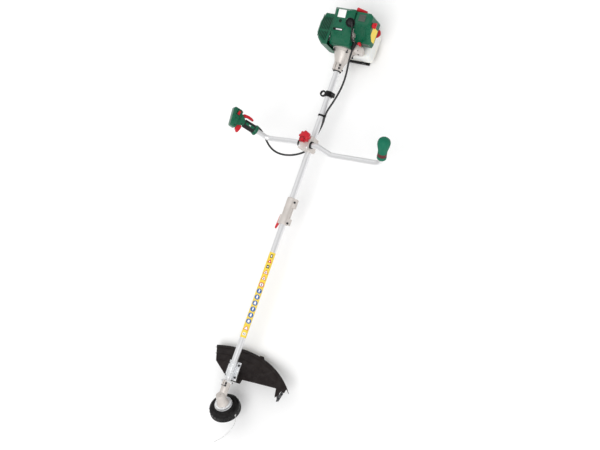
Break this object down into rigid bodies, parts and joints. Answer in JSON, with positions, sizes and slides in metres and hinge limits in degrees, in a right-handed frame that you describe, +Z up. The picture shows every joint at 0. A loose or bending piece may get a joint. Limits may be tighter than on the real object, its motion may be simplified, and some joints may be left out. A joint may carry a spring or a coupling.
{
  "type": "string trimmer",
  "caption": "Petrol string trimmer with a two-piece shaft, cross handlebar with throttle handle, guard and bump-feed line head.",
  "frame": {"origin": "middle of the underside of the foot below the fuel tank, on the ground", "axes": "+X along the shaft from the cutting head towards the engine, +Z up, -Y the operator's left (air filter side)"},
  "size_m": [1.9148, 0.7381, 0.3429],
  "materials": {
    "satin_tube": "satin anodised tube",
    "cast_alloy": "bead-blasted die casting",
    "bright_zinc": "bright zinc plate",
    "steel": "ground steel",
    "dark_bolt": "black oxide",
    "green_plastic": "glossy moulded plastic",
    "red_plastic": "glossy moulded plastic",
    "black_plastic": "textured moulded plastic",
    "guard_plastic": "grained moulded plastic",
    "black_rubber": "matt rubber",
    "green_rubber": "soft-touch rubber",
    "collar_rubber": "matt rubber",
    "tank_plastic": "translucent polyethylene",
    "foam": "open-cell foam",
    "line_nylon": "clear nylon",
    "brass": "sintered bronze"
  },
  "bodies": {
    "engine_shaft": {"upper_tube": "satin_tube", "upper_bearings": "brass", "coupling_body": "cast_alloy", "harness_hanger": "black_plastic", "cable_clips": "black_plastic", "handlebar_bracket": "cast_alloy", "control_cable": "black_rubber", "cable_loop": "black_rubber", "clutch_housing": "cast_alloy", "crankcase": "cast_alloy", "cylinder": "cast_alloy", "piston": "cast_alloy", "spark_plug": "steel", "top_shroud": "green_plastic", "plug_boot": "black_rubber", "muffler_cover": "green_plastic", "muffler": "steel", "carburettor": "cast_alloy", "filter_cover": "green_plastic", "filter_foam": "foam", "fuel_tank": "tank_plastic", "tank_foot": "black_plastic", "starter_housing": "green_plastic", "m5_bolts": "dark_bolt"},
    "lower_shaft": {"lower_tube": "satin_tube", "lower_bearings": "brass", "gear_case": "cast_alloy", "gear_case_cap": "cast_alloy", "guard": "guard_plastic", "line_cutter": "dark_bolt", "guard_bracket": "bright_zinc", "shaft_bolts": "dark_bolt"},
    "upper_drive": {"upper_drive_shaft": "steel", "clutch_drum": "steel"},
    "lower_drive": {"lower_drive_shaft": "steel"},
    "head": {"bevel_gear": "steel", "head_flange": "bright_zinc", "head_cover": "black_plastic", "head_drum": "black_plastic", "spool": "black_plastic", "trimmer_line": "line_nylon"},
    "bump_button": {"bump_knob": "black_plastic"},
    "crank": {"crankshaft": "steel", "flywheel": "cast_alloy", "clutch_shoes": "steel"},
    "handlebar": {"handlebar": "satin_tube", "handlebar_rings": "black_rubber", "grip_collar": "collar_rubber", "left_grip": "green_rubber", "control_handle": "green_plastic", "handle_grip": "black_rubber"},
    "throttle": {"throttle_trigger": "red_plastic"},
    "lock": {"lock_lever": "red_plastic"},
    "switch": {"stop_switch": "red_plastic"},
    "clamp_knob": {"star_knob": "red_plastic"},
    "latch": {"coupling_lever": "red_plastic"},
    "fuel_cap": {"fuel_cap": "red_plastic"},
    "filter_knob": {"filter_knob": "red_plastic"},
    "choke": {"choke_lever": "red_plastic"},
    "pull_handle": {"starter_handle": "red_plastic"}
  },
  "joints": [
    {"name": "lower_shaft_slide", "type": "slide", "parent": "engine_shaft", "child": "lower_shaft", "axis": [-1, 0, 0], "range_m": [0, 0.055]},
    {"name": "head_spin", "type": "hinge", "parent": "lower_shaft", "child": "head", "pos_m": [-1.634, 0, 0.148], "axis": [0.5, 0, 0.866], "continuous": true},
    {"name": "lower_drive_spin", "type": "hinge", "parent": "lower_shaft", "child": "lower_drive", "pos_m": [-1.634, 0, 0.148], "axis": [1, 0, 0], "continuous": true},
    {"name": "upper_drive_spin", "type": "hinge", "parent": "engine_shaft", "child": "upper_drive", "pos_m": [-0.464, 0, 0.148], "axis": [1, 0, 0], "continuous": true},
    {"name": "bump_button_press", "type": "slide", "parent": "head", "child": "bump_button", "axis": [0.5, 0, 0.866], "range_m": [0, 0.005], "stiffness_N_per_m": 900, "springref_m": -0.006},
    {"name": "crank_spin", "type": "hinge", "parent": "engine_shaft", "child": "crank", "pos_m": [-0.064, 0, 0.148], "axis": [1, 0, 0], "continuous": true},
    {"name": "handlebar_tilt", "type": "hinge", "parent": "engine_shaft", "child": "handlebar", "pos_m": [-0.516, 0, 0.193], "axis": [0, 1, 0], "range_deg": [-12, 20], "deforming": ["cable_loop"]},
    {"name": "throttle_squeeze", "type": "hinge", "parent": "handlebar", "child": "throttle", "pos_m": [-0.52174, 0.28581, 0.30254], "axis": [0, -0.7459, 0.666], "range_deg": [0, 12], "stiffness_Nm_per_rad": 0.3, "springref_deg": -11.46},
    {"name": "lock_press", "type": "hinge", "parent": "handlebar", "child": "lock", "pos_m": [-0.48386, 0.27908, 0.29501], "axis": [0, 0.7459, -0.666], "range_deg": [0, 5], "stiffness_Nm_per_rad": 0.3, "springref_deg": -11.46},
    {"name": "stop_switch_slide", "type": "slide", "parent": "handlebar", "child": "switch", "axis": [0.1578, 0.6577, 0.7366], "range_m": [0, 0.006]},
    {"name": "clamp_knob_turn", "type": "hinge", "parent": "engine_shaft", "child": "clamp_knob", "pos_m": [-0.492, 0, 0.2084], "axis": [0, 0, 1], "range_deg": [0, 360]},
    {"name": "latch_press", "type": "hinge", "parent": "engine_shaft", "child": "latch", "pos_m": [-0.852, 0.021, 0.148], "axis": [0, 0, 1], "range_deg": [0, 8], "stiffness_Nm_per_rad": 0.3, "springref_deg": -11.46},
    {"name": "fuel_cap_turn", "type": "hinge", "parent": "engine_shaft", "child": "fuel_cap", "pos_m": [0.05, -0.076, 0.08], "axis": [0, -0.6, 0.8], "range_deg": [0, 270]},
    {"name": "filter_knob_turn", "type": "hinge", "parent": "engine_shaft", "child": "filter_knob", "pos_m": [0.042, -0.126, 0.212], "axis": [0, -1, 0], "range_deg": [0, 360]},
    {"name": "choke_turn", "type": "hinge", "parent": "engine_shaft", "child": "choke", "pos_m": [-0.04, -0.078, 0.173], "axis": [1, 0, 0], "range_deg": [0, 50]},
    {"name": "pull_start", "type": "slide", "parent": "engine_shaft", "child": "pull_handle", "axis": [0, -0.6766, 0.7363], "range_m": [0, 0.6], "stiffness_N_per_m": 8, "springref_m": -0.3}
  ],
  "couplings": [
    {"joint": "lower_drive_spin", "follows": "head_spin", "ratio": -1.3571},
    {"joint": "upper_drive_spin", "follows": "head_spin", "ratio": -1.3571}
  ]
}
